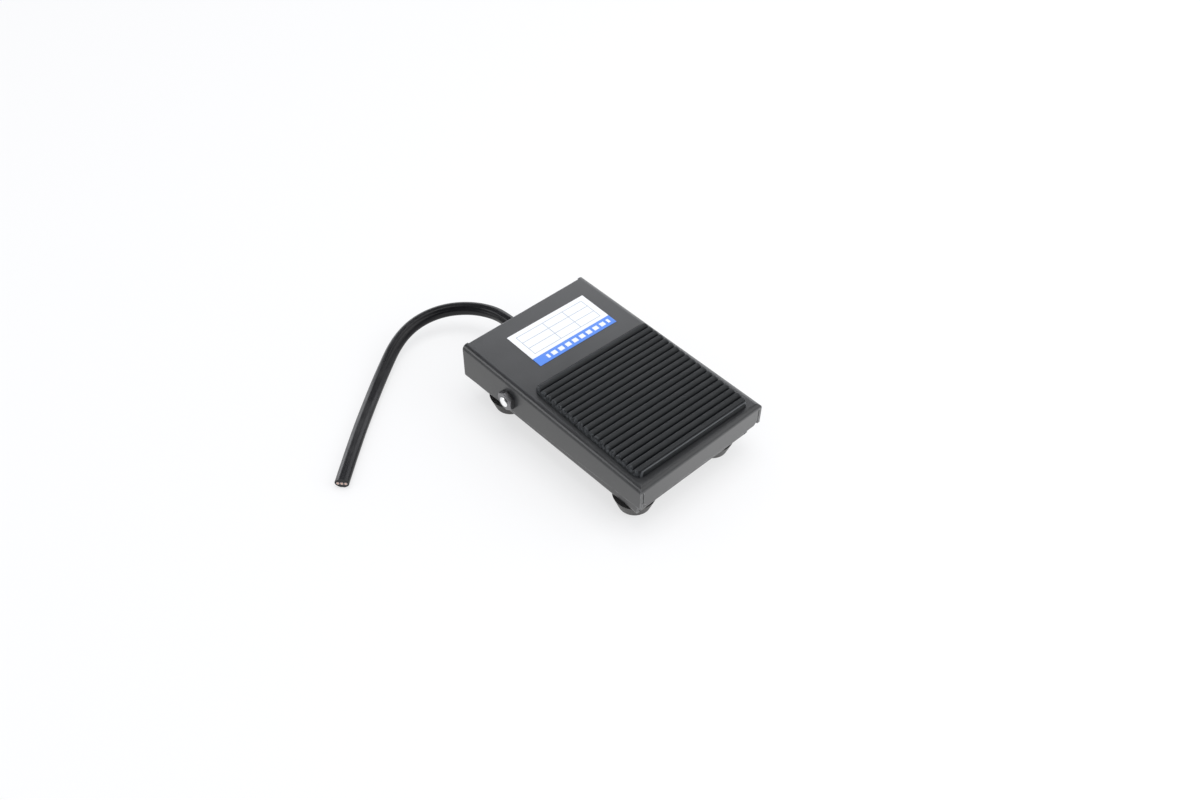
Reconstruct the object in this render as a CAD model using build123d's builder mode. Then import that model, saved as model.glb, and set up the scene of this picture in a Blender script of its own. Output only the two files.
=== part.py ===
from build123d import *
import math
import os

# Foot switch: a folded steel pedal cover that tilts on a bolt over a base pan.
# Millimetres. X runs across, +Y to the rear where the cord leaves, +Z up.
# The origin is on the floor under the middle of the cover.

os.makedirs("parts", exist_ok=True)

# Pedal cover
cover_length = 95.0
cover_width = 60.5
sheet = 1.2
bend_radius = 1.9
plate_rear_height = 25.4
plate_front_height = 23.2
wall_rear_depth = 15.0
wall_front_depth = 9.4
seam_width = 0.4
seam_depth = 7.4
flap_corner = 1.5
wall_corner = 0.6
plate_trim = 0.5
plate_trim_side = 2.6
cut_overrun = 1.0

# Base pan
pan_bottom = 6.0
pan_sheet = 1.2
pan_bend_radius = 1.5
pan_side_inset = 2.1
pan_front_inset = 3.6
pan_rear_inset = 2.0
pan_slit_width = 0.5
pan_slit_lift = 0.8
stop_gap = 0.3

# Pivot
pivot_inset = 26.0
pivot_share = 0.56
press_angle = 3.5
pivot_radius = 2.0
running_clearance = 0.06
loose_clearance = 0.12
nut_width = 7.0
nut_height = 2.0
nut_face_share = 0.95
bolt_head_height = 2.8
bolt_end = 0.45
bolt_chamfer = 0.2
spacer_radius = 4.0
spacer_height = 0.5
sleeve_radius = 3.2
side_gap = 0.1

# Feet and their fasteners
foot_left_inset = 6.85
foot_right_inset = 9.85
foot_front_inset = 8.1
foot_rear_inset = 13.6
foot_top_radius = 8.0
foot_bottom_radius = 6.0
foot_edge = 0.5
foot_recess_radius = 3.3
foot_recess_depth = 3.2
foot_screw_radius = 1.5
foot_screw_head_radius = 2.8
foot_screw_head_height = 2.0
foot_washer_radius = 3.5
foot_washer_height = 0.5
foot_nut_width = 5.5
foot_nut_height = 2.4
foot_screw_end = 0.6

# Tread pad and label
pad_side_margin = 3.45
pad_front_margin = 3.6
pad_rear_margin = 34.6
pad_middle_x = -0.9
pad_turn = -1.5
pad_corner = 3.0
pad_thickness = 1.2
rib_pitch = 2.88
rib_width = 2.3
rib_height = 1.3
rib_margin = 1.4
rib_rear_margin = 0.5
rib_front_margin = 1.5
rib_root = 0.1
label_width = 37.4
label_length = 19.8
label_middle_x = 3.1
label_inset = 18.3
label_turn = -1.3
label_thickness = 0.15

# Return spring
spring_radius = 4.2
wire_radius = 0.5
spring_turns = 3.5
spring_gap = 0.15
post_radius = 3.3
post_height = 4.0
post_chamfer = 0.5
guide_radius = 3.3
guide_height = 2.4
post_rivet_radius = 1.5

# Snap-action switch
switch_to_pivot = 20.6
case_length = 19.8
case_width = 6.4
case_lift = 1.6
case_wall = 1.0
case_corner = 0.8
lever_room = 3.6
side_cover_height = 1.0
cavity_share = 0.42
cavity_length = 17.4
switch_hole_spacing = 9.5
switch_hole_share = 0.24
switch_screw_radius = 1.0
switch_screw_head_radius = 1.8
switch_screw_head_height = 1.2
switch_nut_width = 4.0
switch_nut_height = 1.6
switch_screw_end = 0.4
terminal_width = 3.0
terminal_sheet = 0.5
terminal_reach = 4.0
terminal_root = 1.8
terminal_drop = 0.2
terminal_spacing = 7.4
slot_gap = 0.05
anchor_width = 1.2
anchor_below_hinge = 0.2
plunger_radius = 0.9
plunger_collar_radius = 1.5
plunger_collar_height = 0.5
plunger_rise = 0.85
plunger_round = 0.3
plunger_gap = 0.1
lever_hinge_to_middle = 8.1
lever_hinge_rise = 1.0
lever_pin_radius = 0.4
lever_eye_wall = 0.4
lever_sheet = 0.4
lever_width = 2.4
lever_length = 17.8
lever_slope = 5.1
leaf_below_hinge = 0.3
lug_width = 0.7
lug_gap = 0.2
lug_radius = 1.0
lug_sink = 0.5
eye_room = 0.4
eye_room_depth = 0.3
plunger_to_hinge = 5.5
blade_sheet = 0.25
blade_width = 2.6
blade_hinge_from_end = 2.4
blade_length = 14.4
blade_eye_radius = 0.35
contact_radius = 0.8
contact_height = 0.45
contact_travel = 0.9
contact_gap = 0.1
stud_radius = 2.4
stud_gap = 0.15
stud_to_hinge = 17.0

# Switch bracket
bracket_sheet = 1.2
bracket_foot = 10.0
bracket_length = 17.0
bracket_height = 6.4
rivet_radius = 1.2
rivet_head_radius = 2.2
rivet_head_height = 0.9
rivet_spacing = 11.0

# Cord, grommet and clamp
cord_radius = 2.4
cord_lift = 1.0
cord_rest_height = 2.6
grommet_hole_radius = 3.6
grommet_flange_radius = 4.8
grommet_flange_height = 1.4
grommet_clearance = 0.08
grommet_edge = 0.5
clamp_length = 5.0
clamp_half_width = 7.0
clamp_inset = 5.0
clamp_gap = 0.6
clamp_bar_height = 3.3
clamp_screw_x = 5.0
clamp_screw_radius = 1.2
clamp_screw_head_radius = 2.1
clamp_screw_head_height = 1.5
clamp_screw_end_gap = 0.1
cord_inner_length = 13.0
wire_core_radius = 0.7
wire_spacing = 1.8
wire_lane = 3.2
wire_start = 2.5
wire_clearance = 1.3
wire_bend = 1.4
core_radius = 0.6
core_spacing = 1.45
core_stub = 0.5
bend_share = 0.45

# The cord leaves straight back, swings round to the left and comes down to the floor.
# Each point is given across, back from the grommet, and as a share of the height it leaves at.
cord_points = [
    (0.0, 0.0, 1.0),
    (0.0, 10.1, 1.0),
    (-0.1, 20.3, 0.885),
    (-4.9, 30.5, 0.77),
    (-13.8, 37.7, 0.673),
    (-24.8, 40.2, 0.538),
    (-35.9, 37.8, 0.346),
    (-48.0, 30.3, 0.125),
    (-61.0, 20.8, 0.0),
    (-77.4, 7.3, 0.0),
    (-92.8, -6.5, 0.0),
]

# Places worked out from the sizes above
half_length = cover_length / 2
half_width = cover_width / 2
plate_slope = (plate_rear_height - plate_front_height) / cover_length
tilt = math.degrees(math.atan(plate_slope))
press_slope = math.tan(math.radians(press_angle))
pan_half_width = half_width - pan_side_inset
pan_front_y = -half_length + pan_front_inset
pan_rear_y = half_length - pan_rear_inset
pan_floor = pan_bottom + pan_sheet
pan_wall_inner_y = pan_rear_y - pan_sheet
foot_left_x = -pan_half_width + foot_left_inset
foot_right_x = pan_half_width - foot_right_inset
foot_front_y = pan_front_y + foot_front_inset
foot_rear_y = pan_rear_y - foot_rear_inset
foot_points = [
    (foot_left_x, foot_front_y),
    (foot_right_x, foot_front_y),
    (foot_left_x, foot_rear_y),
    (foot_right_x, foot_rear_y),
]
pad_width = cover_width - 2 * pad_side_margin
pad_length = cover_length - pad_front_margin - pad_rear_margin
pad_middle_y = (pad_front_margin - pad_rear_margin) / 2
label_middle_y = half_length - label_inset
pivot_y = half_length - pivot_inset
switch_middle_y = pivot_y - switch_to_pivot
lever_hinge_y = switch_middle_y + lever_hinge_to_middle
stud_y = lever_hinge_y - stud_to_hinge
spring_y = (pan_front_y + pan_sheet + stud_y) / 2
clamp_rear_y = pan_rear_y - clamp_inset
clamp_middle_y = clamp_rear_y - clamp_length / 2
clamp_screw_points = [(-clamp_screw_x, clamp_middle_y), (clamp_screw_x, clamp_middle_y)]
rivet_x = case_width / 2 + bracket_sheet + bracket_foot / 2
rivet_points = [
    (rivet_x, switch_middle_y - rivet_spacing / 2),
    (rivet_x, switch_middle_y + rivet_spacing / 2),
]
cord_height = pan_floor + grommet_flange_radius + cord_lift
grommet_rear_y = pan_rear_y + grommet_flange_height
cord_drop = cord_height - cord_rest_height
cord_route = [(x, grommet_rear_y + back, cord_rest_height + cord_drop * share) for x, back, share in cord_points]


def plate_top(y):
    """Height of the plate's upper face."""
    return plate_rear_height + (y - half_length) * plate_slope


def plate_under(y):
    """Height of the plate's lower face."""
    return plate_top(y) - sheet


pivot_z = pan_floor + pivot_share * (plate_under(pivot_y) - pan_floor)


def across_flats(width):
    """Corner radius of a hexagon of this width."""
    return width / math.sqrt(3)


def save(piece, name):
    """Labels a finished piece and writes it."""
    piece.part.label = name
    export_step(piece.part, f"parts/{name}.step")


def plate_plane(x, y, lift, turn=0):
    """A plane on the sloping plate, its X across the plate and turned by this many degrees."""
    slope_angle = math.radians(tilt)
    turn_angle = math.radians(turn)
    along = math.sin(turn_angle)
    across = (math.cos(turn_angle), along * math.cos(slope_angle), along * math.sin(slope_angle))
    normal = (0, -math.sin(slope_angle), math.cos(slope_angle))
    return Plane(origin=(x, y, plate_top(y) + lift), x_dir=across, z_dir=normal)


# Pedal cover: a folded box, open below and behind
with BuildPart() as cover_hollow:
    with BuildSketch(Plane.YZ):
        with BuildLine():
            Polyline(
                (half_length + sheet, plate_under(half_length + sheet)),
                (-half_length + sheet, plate_under(-half_length + sheet)),
                (-half_length + sheet + plate_front_height * plate_slope, 0),
                (half_length + sheet, 0),
                close=True,
            )
        make_face()
    extrude(amount=half_width - sheet, both=True)
    ceiling = cover_hollow.faces().sort_by(Axis.Z)[-1]
    fillet(ceiling.edges().sort_by(Axis.Y)[:-1], bend_radius - sheet)

with BuildPart() as pedal_cover:
    with BuildSketch(Plane.YZ):
        with BuildLine():
            Polyline(
                (half_length, plate_rear_height),
                (-half_length, plate_front_height),
                (-half_length + wall_front_depth * plate_slope, plate_front_height - wall_front_depth),
                (half_length + wall_rear_depth * plate_slope, plate_rear_height - wall_rear_depth),
                close=True,
            )
        make_face()
    extrude(amount=half_width, both=True)
    plate = pedal_cover.faces().sort_by(Axis.Z)[-1]
    fillet(plate.edges().sort_by(Axis.Y)[:-1], bend_radius)
    add(cover_hollow.part, mode=Mode.SUBTRACT)
    # the front flap stands between the walls, with an open seam at each end
    seam_x = half_width - sheet - seam_width / 2
    seam_bottom = plate_front_height - wall_front_depth - cut_overrun
    with Locations((-seam_x, -half_length, seam_bottom), (seam_x, -half_length, seam_bottom)):
        Box(
            seam_width,
            4 * sheet,
            seam_depth + cut_overrun,
            align=(Align.CENTER, Align.CENTER, Align.MIN),
            mode=Mode.SUBTRACT,
        )
    flap_corners = (
        pedal_cover.edges()
        .filter_by(Axis.X, reverse=True)
        .filter_by_position(Axis.X, -seam_x, seam_x)
        .filter_by_position(Axis.Y, -half_length, 0)
        .group_by(Axis.Z)[0]
    )
    chamfer(flap_corners, flap_corner)
    rear_corners = (
        pedal_cover.edges()
        .filter_by(Axis.X)
        .filter_by_position(Axis.Y, 0, cover_length)
        .group_by(Axis.Z)[0]
    )
    fillet(rear_corners, wall_corner)
    # between the bends, the plate's rear edge stands a little inside the ends of the walls
    with Locations((0, half_length, plate_rear_height)):
        Box(cover_width - 2 * plate_trim_side, 2 * plate_trim, 4 * sheet, mode=Mode.SUBTRACT)
    with BuildSketch(Plane.YZ):
        with Locations((pivot_y, pivot_z)):
            Circle(pivot_radius + running_clearance)
    extrude(amount=cover_width, both=True, mode=Mode.SUBTRACT)
save(pedal_cover, "pedal_cover")

# Tread pad: a rubber sheet with rounded ribs across it
pad_plane = plate_plane(pad_middle_x, pad_middle_y, 0, pad_turn)
with BuildPart() as tread_pad:
    with BuildSketch(pad_plane):
        RectangleRounded(pad_width, pad_length, pad_corner)
    extrude(amount=pad_thickness)
    rib_run = pad_width - 2 * rib_margin
    rib_side = rib_height - rib_width / 2
    rib_room = pad_length - rib_rear_margin - rib_front_margin - rib_width
    for number in range(int(rib_room / rib_pitch) + 1):
        rib_y = pad_length / 2 - rib_rear_margin - rib_width / 2 - number * rib_pitch
        rib_origin = pad_plane.from_local_coords((-rib_run / 2, rib_y, pad_thickness - rib_root))
        rib_plane = Plane(origin=rib_origin, x_dir=pad_plane.y_dir, z_dir=pad_plane.x_dir)
        with BuildSketch(rib_plane):
            with BuildLine():
                Polyline(
                    (-rib_width / 2, rib_side + rib_root),
                    (-rib_width / 2, 0),
                    (rib_width / 2, 0),
                    (rib_width / 2, rib_side + rib_root),
                )
                ThreePointArc(
                    (rib_width / 2, rib_side + rib_root),
                    (0, rib_height + rib_root),
                    (-rib_width / 2, rib_side + rib_root),
                )
            make_face()
        extrude(amount=rib_run)
save(tread_pad, "tread_pad")

# Label: a thin sticker behind the pad
label_plane = plate_plane(label_middle_x, label_middle_y, 0, label_turn)
with BuildPart() as label:
    with BuildSketch(label_plane):
        Rectangle(label_width, label_length)
    extrude(amount=label_thickness)
save(label, "label")

# Base pan: a folded tray whose front wall stops the pedal and whose rear wall holds it level
pan_wall_rear = plate_under(pan_rear_y) - stop_gap
pan_wall_pivot = plate_under(pivot_y) - stop_gap
pan_wall_front = plate_under(pan_front_y) - (pivot_y - pan_front_y) * press_slope - stop_gap
with BuildPart() as pan_hollow:
    pan_inner_length = pan_rear_y - pan_front_y - 2 * pan_sheet
    with BuildSketch(Plane.XY.offset(pan_floor)):
        with Locations((0, (pan_rear_y + pan_front_y) / 2)):
            Rectangle(2 * (pan_half_width - pan_sheet), pan_inner_length)
    extrude(amount=plate_rear_height)
    fillet(pan_hollow.faces().sort_by(Axis.Z)[0].edges(), pan_bend_radius - pan_sheet)

with BuildPart() as base_pan:
    with BuildSketch(Plane.YZ):
        with BuildLine():
            Polyline(
                (pan_rear_y, pan_bottom),
                (pan_rear_y, pan_wall_rear),
                (pivot_y, pan_wall_pivot),
                (pan_front_y, pan_wall_front),
                (pan_front_y, pan_bottom),
                close=True,
            )
        make_face()
    extrude(amount=pan_half_width, both=True)
    fillet(base_pan.faces().sort_by(Axis.Z)[0].edges(), pan_bend_radius)
    add(pan_hollow.part, mode=Mode.SUBTRACT)
    # open slits where the walls meet at the corners
    slit_x = pan_half_width - pan_sheet - pan_slit_width / 2
    slit_bottom = pan_bottom + pan_slit_lift
    slit_points = []
    for slit_y in (pan_front_y, pan_rear_y):
        slit_points.append((-slit_x, slit_y, slit_bottom))
        slit_points.append((slit_x, slit_y, slit_bottom))
    with Locations(*slit_points):
        Box(
            pan_slit_width,
            4 * pan_sheet,
            plate_rear_height,
            align=(Align.CENTER, Align.CENTER, Align.MIN),
            mode=Mode.SUBTRACT,
        )
    with BuildSketch(Plane.YZ):
        with Locations((pivot_y, pivot_z)):
            Circle(pivot_radius + loose_clearance)
    extrude(amount=cover_width, both=True, mode=Mode.SUBTRACT)
    with BuildSketch(Plane.XY):
        with Locations(*foot_points):
            Circle(foot_screw_radius + loose_clearance)
        with Locations((0, spring_y)):
            Circle(post_rivet_radius + loose_clearance)
        with Locations(*rivet_points):
            Circle(rivet_radius + loose_clearance)
        with Locations(*clamp_screw_points):
            Circle(clamp_screw_radius + loose_clearance)
    extrude(amount=pan_floor + cut_overrun, mode=Mode.SUBTRACT)
    with BuildSketch(Plane.XZ.offset(-pan_rear_y - cut_overrun)):
        with Locations((0, cord_height)):
            Circle(grommet_hole_radius)
    extrude(amount=4 * pan_sheet, mode=Mode.SUBTRACT)
save(base_pan, "base_pan")

# Rubber feet, each held by a screw from below, a washer and a nut
def build_foot(name, x, y):
    """A tapered foot with a recess below for the screw's head."""
    side = Plane(origin=(x, y, 0), x_dir=(1, 0, 0), z_dir=(0, -1, 0))
    with BuildPart() as foot:
        with BuildSketch(side):
            with BuildLine():
                Polyline(
                    (foot_recess_radius, 0),
                    (foot_bottom_radius - foot_edge, 0),
                    (foot_bottom_radius, foot_edge),
                    (foot_top_radius, pan_bottom),
                    (foot_screw_radius + loose_clearance, pan_bottom),
                    (foot_screw_radius + loose_clearance, foot_recess_depth),
                    (foot_recess_radius, foot_recess_depth),
                    close=True,
                )
            make_face()
        revolve(axis=Axis((x, y, 0), (0, 0, 1)))
    save(foot, name)


foot_names = ["foot_front_left", "foot_front_right", "foot_rear_left", "foot_rear_right"]
for foot_name, foot_point in zip(foot_names, foot_points):
    build_foot(foot_name, foot_point[0], foot_point[1])

foot_nut_bottom = pan_floor + foot_washer_height
with BuildPart() as foot_screws:
    with BuildSketch(Plane.XY.offset(foot_recess_depth - foot_screw_head_height)):
        with Locations(*foot_points):
            Circle(foot_screw_head_radius)
    extrude(amount=foot_screw_head_height)
    with BuildSketch(Plane.XY.offset(foot_recess_depth)):
        with Locations(*foot_points):
            Circle(foot_screw_radius)
    extrude(amount=foot_nut_bottom + foot_nut_height + foot_screw_end - foot_recess_depth)
save(foot_screws, "foot_screws")

with BuildPart() as foot_washers:
    with BuildSketch(Plane.XY.offset(pan_floor)):
        with Locations(*foot_points):
            Circle(foot_washer_radius)
            Circle(foot_screw_radius + loose_clearance, mode=Mode.SUBTRACT)
    extrude(amount=foot_washer_height)
save(foot_washers, "foot_washers")

with BuildPart() as foot_nuts:
    with BuildSketch(Plane.XY.offset(foot_nut_bottom)):
        with Locations(*foot_points):
            RegularPolygon(across_flats(foot_nut_width), 6)
            Circle(foot_screw_radius + running_clearance, mode=Mode.SUBTRACT)
    extrude(amount=foot_nut_height)
save(foot_nuts, "foot_nuts")

# Pivot: a bolt through both walls, a thin nut on the left, a sleeve and spacers between
nut_inner_x = half_width + side_gap
nut_outer_x = nut_inner_x + nut_height
head_outer_x = nut_inner_x + bolt_head_height
nut_corner_radius = across_flats(nut_width)
nut_face_radius = nut_face_share * nut_width / 2
nut_bevel = (nut_corner_radius - nut_face_radius) * math.tan(math.radians(30))
pivot_side = Plane(origin=(0, pivot_y, pivot_z), x_dir=(1, 0, 0), z_dir=(0, -1, 0))
pivot_axis = Axis((0, pivot_y, pivot_z), (1, 0, 0))
with BuildPart() as pivot_bolt:
    with BuildSketch(Plane.YZ.offset(nut_inner_x)):
        with Locations((pivot_y, pivot_z)):
            RegularPolygon(nut_corner_radius, 6, rotation=30)
    extrude(amount=bolt_head_height)
    # the head's corners are turned off round its outer face
    with BuildSketch(pivot_side):
        with BuildLine():
            Polyline(
                (nut_inner_x, 0),
                (nut_inner_x, nut_corner_radius),
                (head_outer_x - nut_bevel, nut_corner_radius),
                (head_outer_x, nut_face_radius),
                (head_outer_x, 0),
                close=True,
            )
        make_face()
    revolve(axis=pivot_axis, mode=Mode.INTERSECT)
    with BuildSketch(Plane.YZ.offset(-nut_outer_x - bolt_end)):
        with Locations((pivot_y, pivot_z)):
            Circle(pivot_radius)
    extrude(amount=nut_outer_x + bolt_end + nut_inner_x)
    chamfer(pivot_bolt.faces().sort_by(Axis.X)[0].edges(), bolt_chamfer)
save(pivot_bolt, "pivot_bolt")

with BuildPart() as pivot_nut:
    with BuildSketch(Plane.YZ.offset(-nut_outer_x)):
        with Locations((pivot_y, pivot_z)):
            RegularPolygon(nut_corner_radius, 6, rotation=30)
    extrude(amount=nut_height)
    with BuildSketch(pivot_side):
        with BuildLine():
            Polyline(
                (-nut_inner_x, pivot_radius + running_clearance),
                (-nut_inner_x, nut_corner_radius),
                (-nut_outer_x + nut_bevel, nut_corner_radius),
                (-nut_outer_x, nut_face_radius),
                (-nut_outer_x, pivot_radius + running_clearance),
                close=True,
            )
        make_face()
    revolve(axis=pivot_axis, mode=Mode.INTERSECT)
save(pivot_nut, "pivot_nut")

with BuildPart() as pivot_spacers:
    for spacer_x in (-pan_half_width - spacer_height, pan_half_width):
        with BuildSketch(Plane.YZ.offset(spacer_x)):
            with Locations((pivot_y, pivot_z)):
                Circle(spacer_radius)
                Circle(pivot_radius + loose_clearance, mode=Mode.SUBTRACT)
        extrude(amount=spacer_height)
save(pivot_spacers, "pivot_spacers")

sleeve_half = pan_half_width - pan_sheet
with BuildPart() as pivot_sleeve:
    with BuildSketch(Plane.YZ.offset(-sleeve_half)):
        with Locations((pivot_y, pivot_z)):
            Circle(sleeve_radius)
            Circle(pivot_radius + loose_clearance, mode=Mode.SUBTRACT)
    extrude(amount=2 * sleeve_half)
save(pivot_sleeve, "pivot_sleeve")

# Return spring between a riveted post and a guide under the plate
with BuildPart() as spring_post:
    with BuildSketch(Plane.XY.offset(pan_floor)):
        with Locations((0, spring_y)):
            Circle(post_radius)
    extrude(amount=post_height)
    chamfer(spring_post.faces().sort_by(Axis.Z)[-1].edges(), post_chamfer)
    with BuildSketch(Plane.XY.offset(pan_bottom)):
        with Locations((0, spring_y)):
            Circle(post_rivet_radius)
    extrude(amount=pan_sheet)
save(spring_post, "spring_post")

with BuildPart() as spring_guide:
    with BuildSketch(plate_plane(0, spring_y, -sheet)):
        Circle(guide_radius)
    extrude(amount=-guide_height)
save(spring_guide, "spring_guide")

spring_bottom = pan_floor + spring_gap + wire_radius
spring_top = plate_under(spring_y - spring_radius) - spring_gap - wire_radius
with BuildPart() as return_spring:
    with BuildLine():
        Helix(
            pitch=(spring_top - spring_bottom) / spring_turns,
            height=spring_top - spring_bottom,
            radius=spring_radius,
            center=(0, spring_y, spring_bottom),
        )
    with BuildSketch(Plane(origin=(spring_radius, spring_y, spring_bottom), x_dir=(1, 0, 0), z_dir=(0, 1, 0))):
        Circle(wire_radius)
    sweep(is_frenet=True)
save(return_spring, "return_spring")

# Snap-action switch: a moulded case, closed by a side cover on the left
case_bottom = pan_floor + case_lift
case_top = plate_under(stud_y) - lever_room
case_height = case_top - case_bottom
case_right_x = case_width / 2
case_left_x = case_right_x - case_width + side_cover_height
case_middle = (switch_middle_y, (case_bottom + case_top) / 2)
cavity_height = cavity_share * case_height
cavity_top = case_top - case_wall
cavity_bottom = cavity_top - cavity_height
hinge_z = case_top + lever_hinge_rise
eye_radius = lever_pin_radius + lever_eye_wall + running_clearance
plunger_y = lever_hinge_y - plunger_to_hinge
lug_inner = lever_width / 2 + lug_gap
screw_z = case_bottom + switch_hole_share * case_height
screw_places = [
    (switch_middle_y - switch_hole_spacing / 2, screw_z),
    (switch_middle_y + switch_hole_spacing / 2, screw_z),
]
terminal_y = [switch_middle_y + step * terminal_spacing for step in (-1, 0, 1)]
blade_hinge_y = switch_middle_y - case_length / 2 + blade_hinge_from_end
blade_x = (case_left_x + case_right_x - case_wall) / 2
contact_y = blade_hinge_y + blade_length - contact_radius
upper_contact_bottom = cavity_top - contact_height
blade_contact_top = upper_contact_bottom - contact_gap
blade_z = blade_contact_top - contact_height - blade_sheet / 2
blade_contact_bottom = blade_z - blade_sheet / 2 - contact_height
lower_contact_top = blade_contact_bottom - contact_travel - 2 * contact_gap
anchor_top = blade_z - anchor_below_hinge
with BuildPart() as switch_case:
    with BuildSketch(Plane.YZ.offset(case_left_x)):
        with Locations(case_middle):
            RectangleRounded(case_length, case_height, case_corner)
    extrude(amount=case_right_x - case_left_x)
    with BuildSketch(Plane.YZ.offset(case_left_x)):
        with Locations((switch_middle_y, cavity_bottom + cavity_height / 2)):
            Rectangle(cavity_length, cavity_height)
    extrude(amount=case_right_x - case_left_x - case_wall, mode=Mode.SUBTRACT)
    # two lugs on top carry the lever's pin
    for lug_x in (-lug_inner - lug_width, lug_inner):
        with BuildSketch(Plane.YZ.offset(lug_x)):
            with BuildLine():
                Polyline(
                    (lever_hinge_y - lug_radius, hinge_z),
                    (lever_hinge_y - lug_radius, case_top - lug_sink),
                    (lever_hinge_y + lug_radius, case_top - lug_sink),
                    (lever_hinge_y + lug_radius, hinge_z),
                )
                ThreePointArc(
                    (lever_hinge_y + lug_radius, hinge_z),
                    (lever_hinge_y, hinge_z + lug_radius),
                    (lever_hinge_y - lug_radius, hinge_z),
                )
            make_face()
            with Locations((lever_hinge_y, hinge_z)):
                Circle(lever_pin_radius + running_clearance, mode=Mode.SUBTRACT)
        extrude(amount=lug_width)
    # room for the lever's eye, the plunger's guide, the screws and the terminals
    with Locations((0, lever_hinge_y, case_top)):
        Box(2 * lug_inner, 2 * (eye_radius + eye_room), 2 * eye_room_depth, mode=Mode.SUBTRACT)
    with BuildSketch(Plane.XY.offset(case_top + cut_overrun)):
        with Locations((0, plunger_y)):
            Circle(plunger_radius + running_clearance)
    extrude(amount=-case_wall - 2 * cut_overrun, mode=Mode.SUBTRACT)
    with BuildSketch(Plane.YZ.offset(case_left_x)):
        with Locations(*screw_places):
            Circle(switch_screw_radius + loose_clearance)
    extrude(amount=case_width, mode=Mode.SUBTRACT)
    slot_width = terminal_sheet + 2 * slot_gap
    slot_align = (Align.CENTER, Align.CENTER, Align.MIN)
    for slot_y in terminal_y:
        with Locations((blade_x, slot_y, case_bottom)):
            Box(
                slot_width,
                terminal_width + 2 * slot_gap,
                terminal_root + slot_gap,
                align=slot_align,
                mode=Mode.SUBTRACT,
            )
    with Locations((blade_x, blade_hinge_y, case_bottom)):
        Box(
            slot_width,
            anchor_width + 2 * slot_gap,
            cavity_bottom - case_bottom,
            align=slot_align,
            mode=Mode.SUBTRACT,
        )
save(switch_case, "switch_case")

with BuildPart() as switch_cover:
    with BuildSketch(Plane.YZ.offset(case_left_x - side_cover_height)):
        with Locations(case_middle):
            RectangleRounded(case_length, case_height, case_corner)
        with Locations(*screw_places):
            Circle(switch_screw_radius + loose_clearance, mode=Mode.SUBTRACT)
    extrude(amount=side_cover_height)
save(switch_cover, "switch_cover")

# Terminals: three bent tabs. The front one runs up into the case and cradles the blade's eye.
with BuildPart() as switch_terminals:
    for place_y in terminal_y:
        with Locations((blade_x, place_y, case_bottom + terminal_root)):
            Box(
                terminal_sheet,
                terminal_width,
                terminal_root + terminal_drop + terminal_sheet,
                align=(Align.CENTER, Align.CENTER, Align.MAX),
            )
        with Locations((blade_x, place_y, case_bottom - terminal_drop)):
            Box(
                terminal_reach + case_width / 2,
                terminal_width,
                terminal_sheet,
                align=(Align.MAX, Align.CENTER, Align.MAX),
            )
    with BuildSketch(Plane.YZ.offset(blade_x - terminal_sheet / 2)):
        with Locations((blade_hinge_y, (case_bottom + anchor_top) / 2)):
            Rectangle(anchor_width, anchor_top - case_bottom)
        with Locations((blade_hinge_y, blade_z)):
            Circle(blade_eye_radius + running_clearance, mode=Mode.SUBTRACT)
    extrude(amount=terminal_sheet)
save(switch_terminals, "switch_terminals")

# Moving blade, rolled into an eye at its hinge, and the two fixed contacts inside the case
with BuildPart() as switch_blade:
    with Locations((blade_x, blade_hinge_y + blade_length / 2, blade_z)):
        Box(blade_width, blade_length, blade_sheet)
    with BuildSketch(Plane.YZ.offset(blade_x - blade_width / 2)):
        with Locations((blade_hinge_y, blade_z)):
            Circle(blade_eye_radius)
    extrude(amount=blade_width)
    with BuildSketch(Plane.XY.offset(blade_contact_bottom)):
        with Locations((blade_x, contact_y)):
            Circle(contact_radius)
    extrude(amount=blade_contact_top - blade_contact_bottom)
save(switch_blade, "switch_blade")

with BuildPart() as switch_contacts:
    with BuildSketch(Plane.XY.offset(upper_contact_bottom)):
        with Locations((blade_x, contact_y)):
            Circle(contact_radius)
    extrude(amount=contact_height)
    with BuildSketch(Plane.XY.offset(cavity_bottom)):
        with Locations((blade_x, contact_y)):
            Circle(contact_radius)
    extrude(amount=lower_contact_top - cavity_bottom)
save(switch_contacts, "switch_contacts")

# Plunger: a stem through the case's top, with a collar that keeps it in
plunger_top = case_top + plunger_rise
plunger_bottom = blade_z + blade_sheet / 2 + plunger_gap
collar_top = cavity_top - plunger_gap
with BuildPart() as switch_plunger:
    with BuildSketch(Plane.XY.offset(plunger_bottom)):
        with Locations((0, plunger_y)):
            Circle(plunger_radius)
    extrude(amount=plunger_top - plunger_bottom)
    fillet(switch_plunger.faces().sort_by(Axis.Z)[-1].edges(), plunger_round)
    with BuildSketch(Plane.XY.offset(collar_top - plunger_collar_height)):
        with Locations((0, plunger_y)):
            Circle(plunger_collar_radius)
    extrude(amount=plunger_collar_height)
save(switch_plunger, "switch_plunger")

# Lever: a leaf with a rolled eye, lying just over the plunger
leaf_rise = math.tan(math.radians(lever_slope))
leaf_under = hinge_z - leaf_below_hinge
with BuildPart() as switch_lever:
    with BuildSketch(Plane.YZ.offset(-lever_width / 2)):
        with Locations((lever_hinge_y, hinge_z)):
            Circle(eye_radius)
        with BuildLine():
            Polyline(
                (lever_hinge_y, leaf_under),
                (lever_hinge_y, leaf_under + lever_sheet),
                (lever_hinge_y - lever_length, leaf_under + lever_sheet + lever_length * leaf_rise),
                (lever_hinge_y - lever_length, leaf_under + lever_length * leaf_rise),
                close=True,
            )
        make_face()
        with Locations((lever_hinge_y, hinge_z)):
            Circle(lever_pin_radius + running_clearance, mode=Mode.SUBTRACT)
    extrude(amount=lever_width)
save(switch_lever, "switch_lever")

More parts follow.
